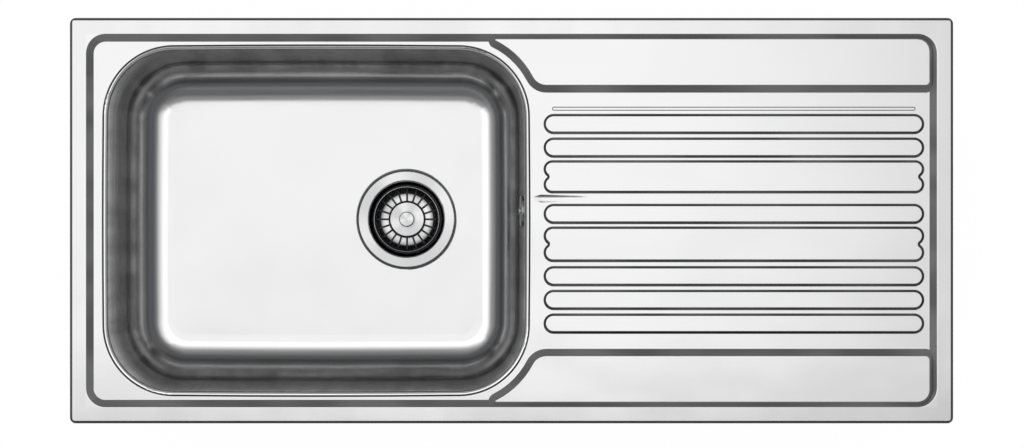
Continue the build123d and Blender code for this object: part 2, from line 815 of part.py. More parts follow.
with BuildPart() as basket_knob:
    with BuildSketch(outlet_level(basket_depth - basket_disc_rise)):
        Circle(knob_neck)
    extrude(amount=basket_depth - basket_disc_rise - knob_top)
    with BuildSketch(outlet_level(knob_top + knob_height)):
        Circle(knob_radius)
    extrude(amount=knob_height)
    fillet(basket_knob.edges().group_by(Axis.Z)[-1], knob_round)
    fillet(basket_knob.edges().filter_by(lambda e: abs(e.center().Z - floor_z + knob_top + knob_height) < 0.01
                                         and e.radius > knob_neck + 1), knob_round)
    with BuildSketch(outlet_level(basket_depth - basket_disc_rise)):
        Circle(stem_radius)
    extrude(amount=stem_in_knob, mode=Mode.SUBTRACT)
basket_knob.part.label = "basket_knob"
export_step(basket_knob.part, "parts/basket_knob.step")

with BuildPart() as basket_stem:
    with BuildSketch(outlet_level(stem_bottom)):
        Circle(stem_radius)
    extrude(amount=stem_bottom - basket_depth + basket_disc_rise + stem_in_knob)
    chamfer(basket_stem.edges().sort_by(Axis.Z)[0], end_chamfer)
basket_stem.part.label = "basket_stem"
export_step(basket_stem.part, "parts/basket_stem.step")

with BuildPart() as basket_seal:
    with BuildSketch(half_section):
        half_ring(stem_radius, seal_radius, basket_depth + basket_sheet, seal_bottom)
    revolve(axis=outlet_axis)
    under = basket_seal.edges().filter_by(GeomType.CIRCLE).group_by(Axis.Z)[0]
    chamfer(under.sort_by(SortBy.RADIUS)[-1], end_chamfer)
basket_seal.part.label = "basket_seal"
export_step(basket_seal.part, "parts/basket_seal.step")

with BuildPart() as seal_plate:
    with BuildSketch(half_section):
        half_ring(stem_radius, seal_plate_radius, seal_bottom, seal_bottom + seal_plate_thickness)
    revolve(axis=outlet_axis)
seal_plate.part.label = "seal_plate"
export_step(seal_plate.part, "parts/seal_plate.step")

with BuildPart() as stem_clip:
    with BuildSketch(outlet_level(seal_bottom + seal_plate_thickness)):
        Circle(stem_clip_radius)
        Circle(stem_radius, mode=Mode.SUBTRACT)
        with Locations((stem_clip_radius, 0)):
            Rectangle(2 * stem_clip_radius, stem_radius, mode=Mode.SUBTRACT)
    extrude(amount=-stem_clip_thickness)
stem_clip.part.label = "stem_clip"
export_step(stem_clip.part, "parts/stem_clip.step")


# Overflow
with BuildPart() as overflow_cover:
    with BuildSketch(wall_plane(-cover_height)):
        Circle(cover_radius)
    extrude(amount=cover_height - cover_gap)
    face = overflow_cover.faces().sort_by(Axis.X)[0]
    fillet(face.edges(), cover_round)
    with BuildSketch(wall_plane(0)):
        Circle(cover_radius - cover_sheet)
    extrude(amount=-(cover_height - cover_sheet), mode=Mode.SUBTRACT)
    with BuildSketch(wall_plane(0)):
        Circle(cover_screw_radius + stem_gap)
        with PolarLocations(cover_hole_ring, cover_holes):
            Circle(cover_hole_radius)
    extrude(amount=-2 * cover_height, mode=Mode.SUBTRACT)
overflow_cover.part.label = "overflow_cover"
export_step(overflow_cover.part, "parts/overflow_cover.step")

with BuildPart() as cover_screw:
    with BuildSketch(wall_plane(-cover_height)):
        Circle(cover_screw_head)
    extrude(amount=-cover_screw_head_height)
    fillet(cover_screw.faces().sort_by(Axis.X)[0].edges(), cover_screw_head_height / 2)
    with BuildSketch(wall_plane(-cover_height)):
        Circle(cover_screw_radius)
    extrude(amount=cover_height + boss_front + cover_screw_grip)
cover_screw.part.label = "cover_screw"
export_step(cover_screw.part, "parts/cover_screw.step")

with BuildPart() as overflow_gasket:
    with BuildSketch(wall_plane(sheet)):
        Circle(collar_radius)
        Circle(overflow_hole, mode=Mode.SUBTRACT)
    extrude(amount=overflow_gasket_thickness)
overflow_gasket.part.label = "overflow_gasket"
export_step(overflow_gasket.part, "parts/overflow_gasket.step")

spigot_end = overflow_z - spigot_drop
collar_back = sheet + overflow_gasket_thickness
chamber_back = chamber_depth + sheet + chamber_rear
with BuildPart() as overflow_elbow:
    with BuildSketch(wall_plane(collar_back)):
        Circle(collar_radius)
    extrude(amount=collar_thickness)
    with BuildSketch(wall_plane(collar_back)):
        Circle(chamber_radius)
    extrude(amount=chamber_back - collar_back)
    fillet(overflow_elbow.faces().sort_by(Axis.X)[-1].edges(), chamber_round)
    with BuildSketch(Plane(origin=(pipe_x, overflow_y, spigot_end), z_dir=(0, 0, 1))):
        Circle(spigot_radius)
    extrude(amount=spigot_drop)
    with BuildSketch(wall_plane(collar_back)):
        Circle(chamber_radius - chamber_wall)
        Circle(boss_radius, mode=Mode.SUBTRACT)
    extrude(amount=chamber_back - collar_back - chamber_wall, mode=Mode.SUBTRACT)
    with BuildSketch(wall_plane(collar_back)):
        Circle(boss_radius)
    extrude(amount=boss_front - collar_back, mode=Mode.SUBTRACT)
    with BuildSketch(wall_plane(boss_front)):
        Circle(cover_screw_radius)
    extrude(amount=cover_screw_grip, mode=Mode.SUBTRACT)
    with BuildSketch(Plane(origin=(pipe_x, overflow_y, spigot_end), z_dir=(0, 0, 1))):
        Circle(pipe_radius - pipe_wall)
    extrude(amount=spigot_drop - boss_radius - boss_clear, mode=Mode.SUBTRACT)
    with BuildSketch(Plane(origin=(pipe_x, overflow_y, spigot_end), z_dir=(0, 0, 1))):
        Circle(pipe_radius + pipe_gap)
    extrude(amount=pipe_entry + pipe_play, mode=Mode.SUBTRACT)
overflow_elbow.part.label = "overflow_elbow"
export_step(overflow_elbow.part, "parts/overflow_elbow.step")

with BuildPart() as overflow_pipe:
    with BuildLine(pipe_plane) as route:
        FilletPolyline(
            (pipe_run, spigot_end + pipe_entry),
            (pipe_run, spigot_z),
            (spigot_reach - pipe_entry, spigot_z),
            radius=pipe_bend,
        )
    with BuildSketch(Plane(origin=route.line @ 0, z_dir=route.line % 0)):
        Circle(pipe_radius)
        Circle(pipe_radius - pipe_wall, mode=Mode.SUBTRACT)
    sweep()
overflow_pipe.part.label = "overflow_pipe"
export_step(overflow_pipe.part, "parts/overflow_pipe.step")

unions = {
    "upper": Plane(origin=(pipe_x, overflow_y, spigot_end), z_dir=(0, 0, -1)),
    "lower": spigot_plane(spigot_reach),
}
for name, mouth in unions.items():
    with BuildPart() as union_seal:
        with BuildSketch(mouth):
            Circle(spigot_radius)
            Circle(pipe_radius + pipe_gap, mode=Mode.SUBTRACT)
        extrude(amount=union_seal_height)
    union_seal.part.label = f"{name}_union_seal"
    export_step(union_seal.part, f"parts/{name}_union_seal.step")

    with BuildPart() as union_nut:
        with BuildSketch(mouth.offset(union_seal_height + union_lip)):
            RegularPolygon(union_radius, union_flats)
        extrude(amount=-union_length)
        with BuildSketch(mouth.offset(union_seal_height)):
            Circle(spigot_radius + pipe_gap)
        extrude(amount=-union_length, mode=Mode.SUBTRACT)
        with BuildSketch(mouth):
            Circle(pipe_radius + pipe_gap)
        extrude(amount=union_length, mode=Mode.SUBTRACT)
    union_nut.part.label = f"{name}_union_nut"
    export_step(union_nut.part, f"parts/{name}_union_nut.step")


# Earthing tag, spot-welded under the front panel
tag_section = Plane(origin=(earth_x, -(panel_inner + panel_outer) / 2, 0), x_dir=(0, 1, 0), z_dir=(1, 0, 0))
with BuildPart() as earth_tag:
    with BuildSketch(tag_section):
        with BuildLine():
            FilletPolyline((-tag_foot, ledge_under), (tag_sheet, ledge_under), (tag_sheet, ledge_under - tag_drop),
                           radius=tag_round)
            offset(amount=tag_sheet, side=Side.RIGHT)
        make_face()
    extrude(amount=tag_width / 2, both=True)
    tag_hole = Plane(origin=tag_section.from_local_coords(Vector(0, ledge_under - tag_drop + tag_width / 2, 0)),
                     z_dir=(0, 1, 0))
    with BuildSketch(tag_hole):
        Circle(earth_radius)
    extrude(amount=2 * tag_sheet, both=True, mode=Mode.SUBTRACT)
earth_tag.part.label = "earth_tag"
export_step(earth_tag.part, "parts/earth_tag.step")

with BuildPart() as earth_screw:
    with BuildSketch(tag_hole):
        RegularPolygon(earth_head, 6)
    extrude(amount=-earth_head / 2)
    with BuildSketch(tag_hole):
        Circle(earth_radius)
    extrude(amount=earth_length)
earth_screw.part.label = "earth_screw"
export_step(earth_screw.part, "parts/earth_screw.step")

with BuildPart() as earth_nut:
    with BuildSketch(tag_hole.offset(tag_sheet)):
        RegularPolygon(earth_head, 6)
        Circle(earth_radius, mode=Mode.SUBTRACT)
    extrude(amount=earth_head)
earth_nut.part.label = "earth_nut"
export_step(earth_nut.part, "parts/earth_nut.step")
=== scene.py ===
import bpy
import bmesh
import math
from mathutils import Matrix, Vector


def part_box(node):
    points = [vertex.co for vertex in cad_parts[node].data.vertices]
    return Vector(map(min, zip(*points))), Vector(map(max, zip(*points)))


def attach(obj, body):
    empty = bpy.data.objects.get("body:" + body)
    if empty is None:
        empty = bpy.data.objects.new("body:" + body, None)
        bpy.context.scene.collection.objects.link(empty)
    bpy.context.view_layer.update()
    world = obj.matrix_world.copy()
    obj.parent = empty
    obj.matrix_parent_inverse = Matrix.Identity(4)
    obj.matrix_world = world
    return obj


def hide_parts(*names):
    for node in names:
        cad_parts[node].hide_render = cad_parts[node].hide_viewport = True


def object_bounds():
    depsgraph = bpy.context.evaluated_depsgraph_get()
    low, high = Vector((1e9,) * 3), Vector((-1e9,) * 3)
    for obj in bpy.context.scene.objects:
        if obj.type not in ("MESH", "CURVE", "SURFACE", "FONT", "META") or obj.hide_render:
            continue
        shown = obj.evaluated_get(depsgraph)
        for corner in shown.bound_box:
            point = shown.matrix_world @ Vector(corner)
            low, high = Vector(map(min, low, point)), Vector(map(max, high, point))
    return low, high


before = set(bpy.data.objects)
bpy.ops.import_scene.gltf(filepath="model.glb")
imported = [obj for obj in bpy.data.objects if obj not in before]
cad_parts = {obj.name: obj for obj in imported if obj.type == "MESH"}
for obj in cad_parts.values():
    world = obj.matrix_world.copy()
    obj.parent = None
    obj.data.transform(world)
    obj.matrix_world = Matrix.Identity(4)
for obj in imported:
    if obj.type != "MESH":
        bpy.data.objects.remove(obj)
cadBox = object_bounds()
print("frame loaded:", len(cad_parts), "nodes")


def linear(hexCode):
    # sRGB hex to the linear colour that the shaders take
    parts = [int(hexCode[i:i + 2], 16) / 255 for i in (1, 3, 5)]
    light = [p / 12.92 if p <= 0.04045 else ((p + 0.055) / 1.055) ** 2.4 for p in parts]
    return (*light, 1.0)


def addNode(tree, kind, settings=None, links=None):
    # one node with its settings; links maps an input to (node, output)
    node = tree.nodes.new(kind)
    for key, value in (settings or {}).items():
        if isinstance(key, int) or key in node.inputs:
            node.inputs[key].default_value = value
        else:
            setattr(node, key, value)
    for key, (source, output) in (links or {}).items():
        tree.links.new(source.outputs[output], node.inputs[key])
    return node


def newMaterial(name):
    material = bpy.data.materials.new(name)
    material.use_nodes = True
    material.node_tree.nodes.clear()
    return material, material.node_tree


def useMaterial(material, *names):
    for name in names:
        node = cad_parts[name]
        node.data.materials.clear()
        node.data.materials.append(material)


def perMetre(size):
    # scale of a pattern whose marks have this real size, in metres, along each axis
    return tuple(1 / s for s in size)


def fromTo(given, wanted=(0.0, 1.0)):
    # settings that take the values between the first two numbers to those between the others
    return {"From Min": given[0], "From Max": given[1], "To Min": wanted[0], "To Max": wanted[1]}


def steepness(tree, tilt):
    # full where the upward part of the surface normal is under the first value, none over the
    # second
    facing = addNode(tree, "ShaderNodeNewGeometry")
    up = addNode(tree, "ShaderNodeSeparateXYZ", links={0: (facing, "Normal")})
    up = addNode(tree, "ShaderNodeMath", {"operation": "ABSOLUTE"}, {0: (up, "Z")})
    return addNode(tree, "ShaderNodeMapRange", fromTo(tilt, (1.0, 0.0)), {0: (up, 0)})


def between(tree, source, steps):
    # soft band of a value: none, full, full, none
    smooth = {"interpolation_type": "SMOOTHSTEP"}
    rise = addNode(tree, "ShaderNodeMapRange", {**smooth, **fromTo(steps[:2])}, {0: source})
    fall = addNode(tree, "ShaderNodeMapRange", {**smooth, **fromTo(steps[2:], (1.0, 0.0))},
                   {0: source})
    return addNode(tree, "ShaderNodeMath", {"operation": "MULTIPLY"}, {0: (rise, 0), 1: (fall, 0)})


def distanceFrom(tree, place, centre):
    # level offset and distance from an upright axis
    local = addNode(tree, "ShaderNodeVectorMath", {"operation": "SUBTRACT", 1: tuple(centre)},
                    {0: (place, "Object")})
    flat = addNode(tree, "ShaderNodeVectorMath", {"operation": "MULTIPLY", 1: (1.0, 1.0, 0.0)},
                   {0: (local, 0)})
    return flat, addNode(tree, "ShaderNodeVectorMath", {"operation": "LENGTH"}, {0: (flat, 0)})


# the values of a noise that count as none and full: the closer together, the sharper its patches
noiseCut = {"soft": (0.3, 0.7), "medium": (0.35, 0.65), "firm": (0.38, 0.62), "hard": (0.4, 0.6)}

# the deck's pressed steel
deckSteel = {
    "colour": "#d7d7d7",            # cold-rolled austenitic stainless
    "half": (0.490, 0.225),         # half the sheet's length and width
    "edgeShadeColour": "#565657",        # painted shade along the rolled outer edge
    "edgeShadeWidth": (0.0024, 0.0036),  # from the outer edge: full, none
    "rim": (0.4725, 0.2070),        # beyond these the sheet is the rim's flat ledge
    "rimShadePatch": (0.11, 0.5, 0.5),    # size of the soft patches of painted shade on the rim's ledge
    "rimShade": 0.11,               # how much they darken it
    "rimShadeColour": "#7c7d80",
    "pressShadeColour": "#7b7b7c",       # painted shade on the steep sides of steps and ribs
    "pressShadeTilt": (0.86, 0.97),      # upward part of the surface normal: full, none
    "pressShadePatch": (0.12, 0.05, 0.5),  # size of their lighter and darker lengths
    "pressShadeLeast": 0.8,              # share of the dark colour in the lighter ones
    "roughness": (0.13, 0.20),
    "cloud": (0.16, 0.07, 0.07),    # size of the clouds in which it varies
    "grain": (0.05, 0.0005, 0.0005),  # length and spacing of the brushing, coarse enough to show
    "grainBump": (0.3, 0.0000035),  # strength, depth
}


def makeDeckSteel(opts):
    # stainless sheet, rolled, pressed and finely brushed along its length: a satin mirror with
    # soft-edged reflections, and painted shade in soft patches on the rim, on the steep sides of
    # steps and ribs and along the rolled outer edge
    material, tree = newMaterial("stainlessSheetBrushed")
    place = addNode(tree, "ShaderNodeTexCoord")
    # distance in from the outer edge, along which shade is painted
    whole = addNode(tree, "ShaderNodeVectorMath", {"operation": "ABSOLUTE"}, {0: (place, "Object")})
    side = addNode(tree, "ShaderNodeSeparateXYZ", links={0: (whole, 0)})
    inX = addNode(tree, "ShaderNodeMath", {"operation": "SUBTRACT", 0: opts["half"][0]},
                  {1: (side, 0)})
    inY = addNode(tree, "ShaderNodeMath", {"operation": "SUBTRACT", 0: opts["half"][1]},
                  {1: (side, 1)})
    inset = addNode(tree, "ShaderNodeMath", {"operation": "MINIMUM"}, {0: (inX, 0), 1: (inY, 0)})
    edgeShade = addNode(tree, "ShaderNodeMapRange", fromTo(opts["edgeShadeWidth"], (1.0, 0.0)),
                   {0: (inset, 0)})
    # painted shade in soft patches on the rim's ledge
    rimX = addNode(tree, "ShaderNodeMath", {"operation": "GREATER_THAN", 1: opts["rim"][0]},
                   {0: (side, 0)})
    rimY = addNode(tree, "ShaderNodeMath", {"operation": "GREATER_THAN", 1: opts["rim"][1]},
                   {0: (side, 1)})
    rim = addNode(tree, "ShaderNodeMath", {"operation": "MAXIMUM"}, {0: (rimX, 0), 1: (rimY, 0)})
    rimShadeNoise = addNode(tree, "ShaderNodeMapping", {"Scale": perMetre(opts["rimShadePatch"])},
                   {0: (place, "Object")})
    rimShadeNoise = addNode(tree, "ShaderNodeTexNoise", {"Scale": 1.0, "Detail": 3.0, "Roughness": 0.6},
                   {0: (rimShadeNoise, 0)})
    shade = addNode(tree, "ShaderNodeMapRange", fromTo(noiseCut["firm"], (0.0, opts["rimShade"])),
                    {0: (rimShadeNoise, 0)})
    shade = addNode(tree, "ShaderNodeMath", {"operation": "MULTIPLY"}, {0: (shade, 0), 1: (rim, 0)})
    rimShaded = addNode(tree, "ShaderNodeMix", {"data_type": "RGBA", "A": linear(opts["colour"]),
                   "B": linear(opts["rimShadeColour"])}, {"Factor": (shade, 0)})
    # painted shade on the steep sides of steps and ribs
    pressShadeNoise = addNode(tree, "ShaderNodeMapping", {"Scale": perMetre(opts["pressShadePatch"])},
                    {0: (place, "Object")})
    pressShadeNoise = addNode(tree, "ShaderNodeTexNoise", {"Scale": 1.0, "Detail": 1.0}, {0: (pressShadeNoise, 0)})
    pressShadeNoise = addNode(tree, "ShaderNodeMapRange", fromTo(noiseCut["hard"], (opts["pressShadeLeast"], 1.0)),
                    {0: (pressShadeNoise, 0)})
    pressShade = addNode(tree, "ShaderNodeMath", {"operation": "MULTIPLY"},
                    {0: (steepness(tree, opts["pressShadeTilt"]), 0), 1: (pressShadeNoise, 0)})
    pressShaded = addNode(tree, "ShaderNodeMix",
                      {"data_type": "RGBA", "B": linear(opts["pressShadeColour"])},
                      {"Factor": (pressShade, 0), "A": (rimShaded, "Result")})
    colour = addNode(tree, "ShaderNodeMix", {"data_type": "RGBA", "B": linear(opts["edgeShadeColour"])},
                     {"Factor": (edgeShade, 0), "A": (pressShaded, "Result")})
    # clouded gloss and brushing
    clouds = addNode(tree, "ShaderNodeMapping", {"Scale": perMetre(opts["cloud"])},
                     {0: (place, "Object")})
    clouds = addNode(tree, "ShaderNodeTexNoise", {"Scale": 1.0, "Detail": 4.0}, {0: (clouds, 0)})
    rough = addNode(tree, "ShaderNodeMapRange", fromTo(noiseCut["medium"], opts["roughness"]),
                    {0: (clouds, 0)})
    lines = addNode(tree, "ShaderNodeMapping", {"Scale": perMetre(opts["grain"])},
                    {0: (place, "Object")})
    lines = addNode(tree, "ShaderNodeTexNoise", {"Scale": 1.0, "Detail": 3.0, "Roughness": 0.6},
                    {0: (lines, 0)})
    strength, depth = opts["grainBump"]
    bump = addNode(tree, "ShaderNodeBump", {"Strength": strength, "Distance": depth},
                   {"Height": (lines, 0)})
    steel = addNode(tree, "ShaderNodeBsdfPrincipled", {"Metallic": 1.0},
                    {"Base Color": (colour, "Result"), "Roughness": (rough, 0),
                     "Normal": (bump, 0)})
    addNode(tree, "ShaderNodeOutputMaterial", links={0: (steel, 0)})
    return material


useMaterial(makeDeckSteel(deckSteel), "deck")

# the bowl's deep-drawn steel
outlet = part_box("centre_screw")
outletCentre = (outlet[0] + outlet[1]) / 2
bowlSteel = {
    "colour": "#d5d5d5",
    "turnHighlightColour": "#f1f1f1",         # painted highlight on the rounded turns
    "turnHighlightTilt": (0.88, 0.93, 0.972, 0.992),  # upward part of the normal: none, full, full, none
    "footShadeColour": "#7d7e80",         # painted shade on the steeper part of the bottom turn
    "footShadeTilt": (0.70, 0.80, 0.86, 0.93),
    "footShadeLevel": (-0.12, -0.10),     # height: full, none
    "wallShadeColours": ("#a6a6a6", "#cecece"),  # painted shade on the walls, softly streaked with painted reflections
    "wallShadeTilt": (0.45, 0.70),        # upward part of the surface normal: full, none
    "paintedStreaks": (0.024, 0.024, 0.5),
    "lipShadeColour": "#3a3a3b",         # a dark line of painted shade along the bowl's flat top edge
    "lipShadeLevel": (-0.00007, -0.00002),  # height: none, full
    "grooveShadeColour": "#3c3d3f",       # painted shade in the groove round the strainer
    "grooveShade": (0.0575, 0.0578),      # its radius: full, none
    "roughness": (0.15, 0.21),
    "rings": (0.9, 0.9, 0.016),      # faint rings that the press leaves round the walls
    "ringBump": (1.0, 0.00022),      # strength, depth
    "polish": (0.09, 0.09, 0.0009),  # polishing marks run level round the bowl
    "polishBump": (0.3, 0.0000025),
}


def makeBowlSteel(opts):
    # deep-drawn and belt-polished stainless: reflections are drawn out into level bands on the
    # walls
    material, tree = newMaterial("stainlessDeepDrawn")
    place = addNode(tree, "ShaderNodeTexCoord")
    # faint rings of the press and level marks of the polishing belt
    rings = addNode(tree, "ShaderNodeMapping", {"Scale": perMetre(opts["rings"])},
                    {0: (place, "Object")})
    rings = addNode(tree, "ShaderNodeTexNoise", {"Scale": 1.0, "Detail": 1.0}, {0: (rings, 0)})
    marks = addNode(tree, "ShaderNodeMapping", {"Scale": perMetre(opts["polish"])},
                    {0: (place, "Object")})
    marks = addNode(tree, "ShaderNodeTexNoise", {"Scale": 1.0, "Detail": 2.0}, {0: (marks, 0)})
    rough = addNode(tree, "ShaderNodeMapRange", fromTo(noiseCut["soft"], opts["roughness"]),
                    {0: (marks, 0)})
    strength, depth = opts["ringBump"]
    bump = addNode(tree, "ShaderNodeBump", {"Strength": strength, "Distance": depth},
                   {"Height": (rings, 0)})
    strength, depth = opts["polishBump"]
    bump = addNode(tree, "ShaderNodeBump", {"Strength": strength, "Distance": depth},
                   {"Height": (marks, 0), "Normal": (bump, 0)})
    # painted highlight on the turns, painted shade on their steeper foot and on the walls, whose
    # streaks are painted reflections
    facing = addNode(tree, "ShaderNodeNewGeometry")
    up = addNode(tree, "ShaderNodeSeparateXYZ", links={0: (facing, "Normal")})
    spot = addNode(tree, "ShaderNodeSeparateXYZ", links={0: (place, "Object")})
    turn = between(tree, (up, "Z"), opts["turnHighlightTilt"])
    turnLightAndShade = addNode(tree, "ShaderNodeMix", {"data_type": "RGBA", "A": linear(opts["colour"]),
                     "B": linear(opts["turnHighlightColour"])}, {"Factor": (turn, 0)})
    low = addNode(tree, "ShaderNodeMapRange", fromTo(opts["footShadeLevel"], (1.0, 0.0)),
                  {0: (spot, "Z")})
    footShade = addNode(tree, "ShaderNodeMath", {"operation": "MULTIPLY"},
                   {0: (between(tree, (up, "Z"), opts["footShadeTilt"]), 0), 1: (low, 0)})
    turnLightAndShade = addNode(tree, "ShaderNodeMix", {"data_type": "RGBA", "B": linear(opts["footShadeColour"])},
                     {"Factor": (footShade, 0), "A": (turnLightAndShade, "Result")})
    paintedStreaks = addNode(tree, "ShaderNodeMapping", {"Scale": perMetre(opts["paintedStreaks"])},
                      {0: (place, "Object")})
    paintedStreaks = addNode(tree, "ShaderNodeTexNoise", {"Scale": 1.0, "Detail": 2.0}, {0: (paintedStreaks, 0)})
    paintedStreaks = addNode(tree, "ShaderNodeMapRange", fromTo(noiseCut["firm"]), {0: (paintedStreaks, 0)})
    wall = addNode(tree, "ShaderNodeMix", {"data_type": "RGBA", "A": linear(opts["wallShadeColours"][0]),
                   "B": linear(opts["wallShadeColours"][1])}, {"Factor": (paintedStreaks, 0)})
    lightAndShadeColour = addNode(tree, "ShaderNodeMix", {"data_type": "RGBA"},
                    {"Factor": (steepness(tree, opts["wallShadeTilt"]), 0), "A": (turnLightAndShade, "Result"),
                     "B": (wall, "Result")})
    # painted shade along the lip's flat edge and in the groove round the strainer
    lipShade = addNode(tree, "ShaderNodeMapRange", fromTo(opts["lipShadeLevel"]), {0: (spot, "Z")})
    lightAndShadeColour = addNode(tree, "ShaderNodeMix", {"data_type": "RGBA", "B": linear(opts["lipShadeColour"])},
                    {"Factor": (lipShade, 0), "A": (lightAndShadeColour, "Result")})
    radius = distanceFrom(tree, place, outletCentre)[1]
    grooveShade = addNode(tree, "ShaderNodeMapRange", fromTo(opts["grooveShade"], (1.0, 0.0)),
                     {0: (radius, "Value")})
    colour = addNode(tree, "ShaderNodeMix",
                     {"data_type": "RGBA", "B": linear(opts["grooveShadeColour"])},
                     {"Factor": (grooveShade, 0), "A": (lightAndShadeColour, "Result")})
    steel = addNode(tree, "ShaderNodeBsdfPrincipled", {"Metallic": 1.0},
                    {"Base Color": (colour, "Result"), "Roughness": (rough, 0),
                     "Normal": (bump, 0)})
    addNode(tree, "ShaderNodeOutputMaterial", links={0: (steel, 0)})
    return material


useMaterial(makeBowlSteel(bowlSteel), "bowl")

# spun steel of strainer, basket and overflow cover
spunSteel = {
    "colour": "#d4d4d4",
    "sectorShadeColour": "#bcbcbd",   # painted shade in soft sectors, standing in for a spun face's reflections
    "sectorShadeScale": 0.8,
    "steepShadeColour": "#2a2b2d",    # painted shade on walls and slot sides
    "steepShadeTilt": (0.35, 0.75),   # upward part of the surface normal: full, none
    "facing": 2.0,               # and only where the outward part of the normal is less than this
    "shadeZone": (-1.0, -0.5, 0.0430, 0.0440),  # radii of painted shade as dark: none, full, full, none
    "roughness": (0.16, 0.24),
    "turning": 0.0011,           # spacing of the turning marks, coarser than real so that they show
    "turningBump": (0.5, 0.000004),  # strength, depth
}
# the basket has painted shade in the bend between its floor and its rim
basketShadeZone = (0.0255, 0.0325, 0.0374, 0.0378)
basketSteel = dict(spunSteel, shadeZone=basketShadeZone, steepShadeColour="#3a3b3d", facing=0.1)
coverSteel = dict(spunSteel, colour="#a9abae", steepShadeColour="#a9abae", roughness=(0.3, 0.38))


def makeSpunSteel(name, centre, opts):
    # stainless spun on a lathe: fine rings about its axis, and painted shade in soft sectors
    material, tree = newMaterial(name)
    place = addNode(tree, "ShaderNodeTexCoord")
    flat, radius = distanceFrom(tree, place, centre)
    spoke = addNode(tree, "ShaderNodeVectorMath", {"operation": "NORMALIZE"}, {0: (flat, 0)})
    sectorShadeNoise = addNode(tree, "ShaderNodeTexNoise", {"Scale": opts["sectorShadeScale"], "Detail": 0.0},
                     {0: (spoke, 0)})
    soft = addNode(tree, "ShaderNodeMapRange",
                   {"interpolation_type": "SMOOTHSTEP", **fromTo(noiseCut["medium"])},
                   {0: (sectorShadeNoise, 0)})
    face = addNode(tree, "ShaderNodeMix", {"data_type": "RGBA", "A": linear(opts["colour"]),
                   "B": linear(opts["sectorShadeColour"])}, {"Factor": (soft, 0)})
    # painted shade on the walls and in the shade zone, on the faces that look inwards
    shadeBand = between(tree, (radius, "Value"), opts["shadeZone"])
    paintedShade = addNode(tree, "ShaderNodeMath", {"operation": "MAXIMUM"},
                   {0: (steepness(tree, opts["steepShadeTilt"]), 0), 1: (shadeBand, 0)})
    surface = addNode(tree, "ShaderNodeNewGeometry")
    outward = addNode(tree, "ShaderNodeVectorMath", {"operation": "DOT_PRODUCT"},
                      {0: (surface, "Normal"), 1: (spoke, 0)})
    inside = addNode(tree, "ShaderNodeMath", {"operation": "LESS_THAN", 1: opts["facing"]},
                     {0: (outward, "Value")})
    paintedShade = addNode(tree, "ShaderNodeMath", {"operation": "MULTIPLY"},
                   {0: (paintedShade, 0), 1: (inside, 0)})
    colour = addNode(tree, "ShaderNodeMix", {"data_type": "RGBA", "B": linear(opts["steepShadeColour"])},
                     {"Factor": (paintedShade, 0), "A": (face, "Result")})
    # turning marks
    steps = addNode(tree, "ShaderNodeMath", {"operation": "DIVIDE", 1: opts["turning"]},
                    {0: (radius, "Value")})
    rings = addNode(tree, "ShaderNodeTexNoise",
                    {"noise_dimensions": "1D", "Scale": 1.0, "Detail": 2.0},
                    {"W": (steps, 0)})
    rough = addNode(tree, "ShaderNodeMapRange", fromTo(noiseCut["soft"], opts["roughness"]),
                    {0: (rings, 0)})
    strength, depth = opts["turningBump"]
    bump = addNode(tree, "ShaderNodeBump", {"Strength": strength, "Distance": depth},
                   {"Height": (rings, 0)})
    steel = addNode(tree, "ShaderNodeBsdfPrincipled", {"Metallic": 1.0},
                    {"Base Color": (colour, "Result"), "Roughness": (rough, 0),
                     "Normal": (bump, 0)})
    addNode(tree, "ShaderNodeOutputMaterial", links={0: (steel, 0)})
    return material


useMaterial(makeSpunSteel("stainlessSpun", outletCentre, spunSteel), "strainer_flange")
useMaterial(makeSpunSteel("stainlessBasket", outletCentre, basketSteel), "basket", "basket_knob")
useMaterial(makeSpunSteel("stainlessCover", outletCentre, coverSteel), "overflow_cover")

# turned and rolled metals: size of the tool's marks, and the strength and depth of their relief
turnedSteel = {"colour": "#c2c4c6", "roughness": (0.22, 0.34), "marks": (0.02, 0.02, 0.0004),
               "bump": (0.5, 0.000006)}
turnedBrass = {"colour": "#c8a45a", "roughness": (0.26, 0.36), "marks": (0.02, 0.02, 0.0005),
               "bump": (0.5, 0.000006)}
millStrip = {"colour": "#b0b2b4", "roughness": (0.30, 0.42), "marks": (0.08, 0.08, 0.0006),
             "bump": (0.5, 0.00001)}
weldNugget = dict(millStrip, colour="#8d9196", marks=(0.002, 0.002, 0.002))


def makeMarkedMetal(name, opts):
    # metal with the fine parallel marks of the tool that made it
    material, tree = newMaterial(name)
    place = addNode(tree, "ShaderNodeTexCoord")
    marks = addNode(tree, "ShaderNodeMapping", {"Scale": perMetre(opts["marks"])},
                    {0: (place, "Object")})
    marks = addNode(tree, "ShaderNodeTexNoise", {"Scale": 1.0, "Detail": 3.0, "Roughness": 0.6},
                    {0: (marks, 0)})
    rough = addNode(tree, "ShaderNodeMapRange", fromTo(noiseCut["soft"], opts["roughness"]),
                    {0: (marks, 0)})
    strength, depth = opts["bump"]
    bump = addNode(tree, "ShaderNodeBump", {"Strength": strength, "Distance": depth},
                   {"Height": (marks, 0)})
    metal = addNode(tree, "ShaderNodeBsdfPrincipled",
                    {"Base Color": linear(opts["colour"]), "Metallic": 1.0},
                    {"Roughness": (rough, 0), "Normal": (bump, 0)})
    addNode(tree, "ShaderNodeOutputMaterial", links={0: (metal, 0)})
    return material


# stainless turned and milled: bright, with tight rings
useMaterial(makeMarkedMetal("stainlessTurned", turnedSteel), "basket_stem", "stem_clip",
            "seal_plate", "cover_screw", "centre_screw", "earth_screw", "earth_nut")
# brass turned from bar: warm yellow, slightly dulled
useMaterial(makeMarkedMetal("brassTurned", turnedBrass), "waste_insert")
